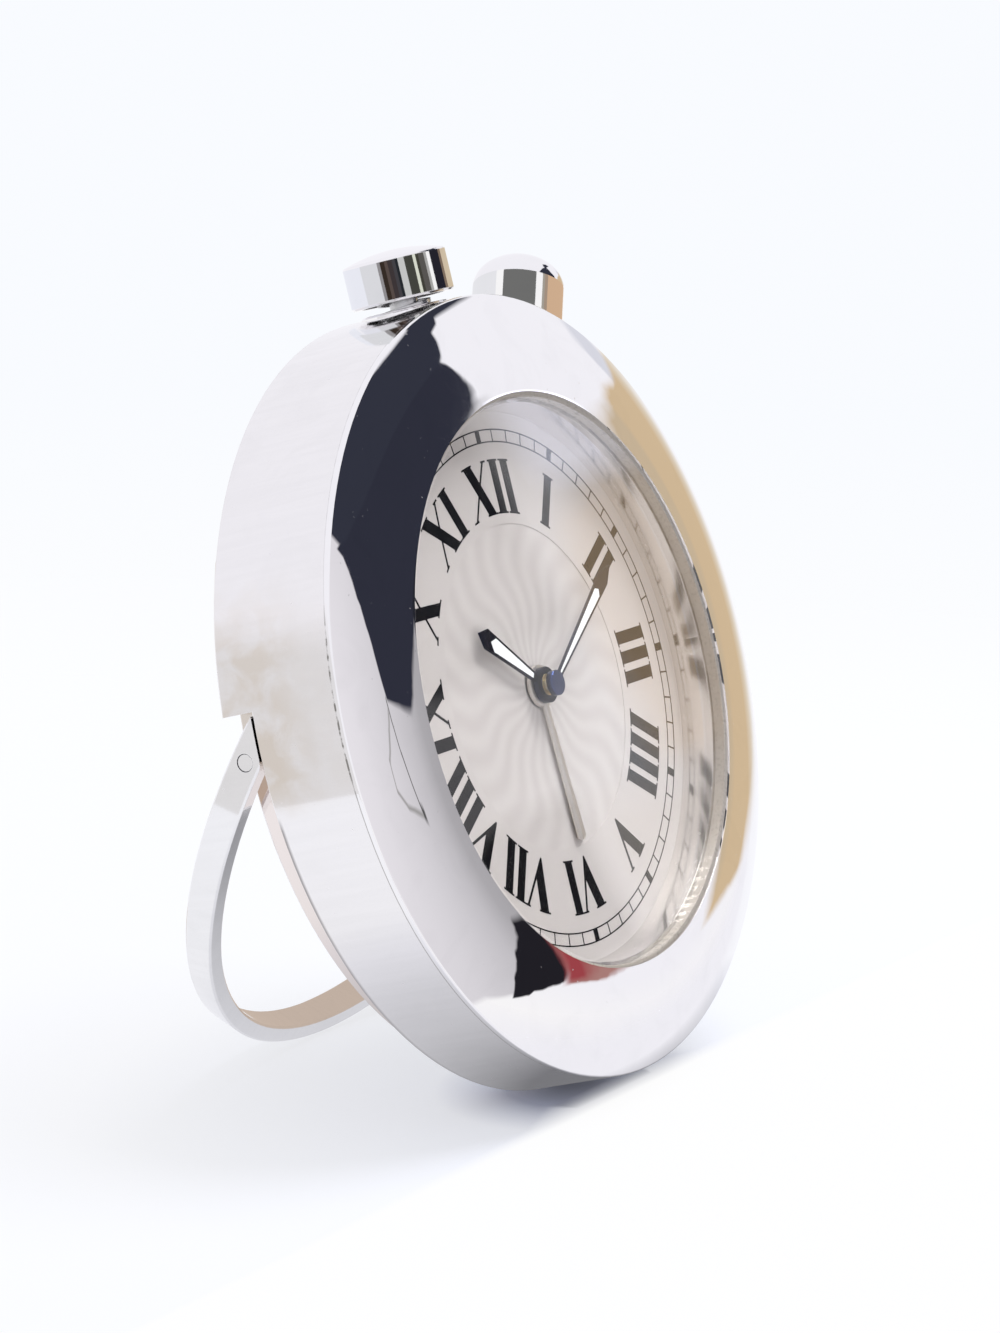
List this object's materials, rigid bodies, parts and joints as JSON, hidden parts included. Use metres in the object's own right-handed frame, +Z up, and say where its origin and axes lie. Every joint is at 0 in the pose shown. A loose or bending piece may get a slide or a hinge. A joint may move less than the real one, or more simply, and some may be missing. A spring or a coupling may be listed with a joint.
{
  "type": "travel alarm clock",
  "caption": "Round polished travel alarm clock with a domed bezel, roman dial, alarm button, dome crown and a folding hoop stand.",
  "frame": {"origin": "middle of the bounding box, on the surface that the clock stands on", "axes": "+Z up, the dial faces -Y and leans back, +X is towards 3 o'clock"},
  "size_m": [0.08, 0.042, 0.0836],
  "materials": {
    "polished_case": "mirror polished",
    "polished_ring": "polished",
    "satin_back": "circular satin",
    "crystal": "clear mineral glass",
    "clear_seal": "translucent",
    "rubber_seal": "matt",
    "silvered_dial": "silvered satin",
    "blued_steel": "blued, glossy",
    "white_inlay": "matt",
    "plain_steel": "fine ground",
    "brass": "satin",
    "white_plastic": "moulded",
    "black_plastic": "moulded",
    "green_board": "lacquered board",
    "copper_wire": "enamelled wire",
    "magnet": "ground"
  },
  "bodies": {
    "clock": {"case_middle": "polished_case", "bezel": "polished_case", "crystal": "crystal", "crystal_gasket": "clear_seal", "inner_ring": "polished_ring", "dial": "silvered_dial", "case_back": "satin_back", "back_gasket": "rubber_seal", "battery_hatch": "satin_back", "hatch_seal": "rubber_seal", "hinge_pins": "plain_steel", "button_collar": "polished_case", "button_spring": "plain_steel", "crown_tube": "polished_case", "movement_plate": "brass", "centre_bush": "plain_steel", "movement_cover": "white_plastic", "movement_screws": "plain_steel", "movement_holder": "black_plastic", "alarm_switch": "black_plastic", "minute_wheel_post": "plain_steel", "stator": "plain_steel", "coil_core": "plain_steel", "coil_winding": "copper_wire", "battery": "plain_steel", "front_contact": "brass", "rear_contact": "brass", "circuit_board": "green_board", "control_chip": "black_plastic", "timing_crystal": "plain_steel", "buzzer": "brass"},
    "stand": {"stand": "polished_case"},
    "alarm_button": {"button_head": "polished_case", "button_stem": "plain_steel"},
    "crown_slide": {"setting_lever": "plain_steel"},
    "crown": {"crown": "polished_case", "crown_stem": "plain_steel"},
    "minute_train": {"minute_arbor": "plain_steel", "centre_wheel": "brass", "minute_hand": "blued_steel", "minute_hand_inlay": "white_inlay", "hand_cap": "blued_steel"},
    "hour_train": {"hour_wheel": "brass", "hour_hand": "blued_steel", "hour_hand_inlay": "white_inlay"},
    "alarm_train": {"alarm_wheel": "brass", "alarm_hand": "plain_steel"},
    "minute_wheel": {"minute_wheel": "brass"},
    "third_wheel": {"third_wheel": "brass"},
    "rotor": {"rotor": "magnet"}
  },
  "joints": [
    {"name": "stand_hinge", "type": "hinge", "parent": "clock", "child": "stand", "pos_m": [0, 0.00354, 0.03822], "axis": [1, 0, 0], "range_deg": [-41.25, 0]},
    {"name": "alarm_press", "type": "slide", "parent": "clock", "child": "alarm_button", "axis": [0, -0.3132, -0.9497], "range_m": [0, 0.0008], "stiffness_N_per_m": 600, "springref_m": -0.0005, "deforming": ["button_spring"]},
    {"name": "crown_pull", "type": "slide", "parent": "clock", "child": "crown_slide", "axis": [0.5, 0.2712, 0.8225], "range_m": [0, 0.001]},
    {"name": "crown_turn", "type": "hinge", "parent": "crown_slide", "child": "crown", "pos_m": [0.02, 0.0096, 0.07175], "axis": [0.5, 0.2712, 0.8225], "continuous": true},
    {"name": "minute_turn", "type": "hinge", "parent": "clock", "child": "minute_train", "pos_m": [0, -0.0013, 0.03886], "axis": [0, -0.9497, 0.3132], "continuous": true},
    {"name": "hour_turn", "type": "hinge", "parent": "clock", "child": "hour_train", "pos_m": [0, -0.00282, 0.03937], "axis": [0, -0.9497, 0.3132], "continuous": true},
    {"name": "alarm_turn", "type": "hinge", "parent": "clock", "child": "alarm_train", "pos_m": [0, -0.00358, 0.03962], "axis": [0, -0.9497, 0.3132], "continuous": true},
    {"name": "minute_wheel_turn", "type": "hinge", "parent": "clock", "child": "minute_wheel", "pos_m": [0.0025, -0.0007, 0.04323], "axis": [0, -0.9497, 0.3132], "continuous": true},
    {"name": "third_wheel_turn", "type": "hinge", "parent": "clock", "child": "third_wheel", "pos_m": [-0.00274, -0.00289, 0.03147], "axis": [0, -0.9497, 0.3132], "continuous": true},
    {"name": "rotor_turn", "type": "hinge", "parent": "clock", "child": "rotor", "pos_m": [0.00056, -0.00469, 0.02605], "axis": [0, -0.9497, 0.3132], "continuous": true}
  ],
  "couplings": [
    {"joint": "hour_turn", "follows": "minute_turn", "ratio": 0.083333},
    {"joint": "minute_wheel_turn", "follows": "minute_turn", "ratio": -0.33333},
    {"joint": "third_wheel_turn", "follows": "minute_turn", "ratio": -9},
    {"joint": "rotor_turn", "follows": "minute_turn", "ratio": 90}
  ]
}
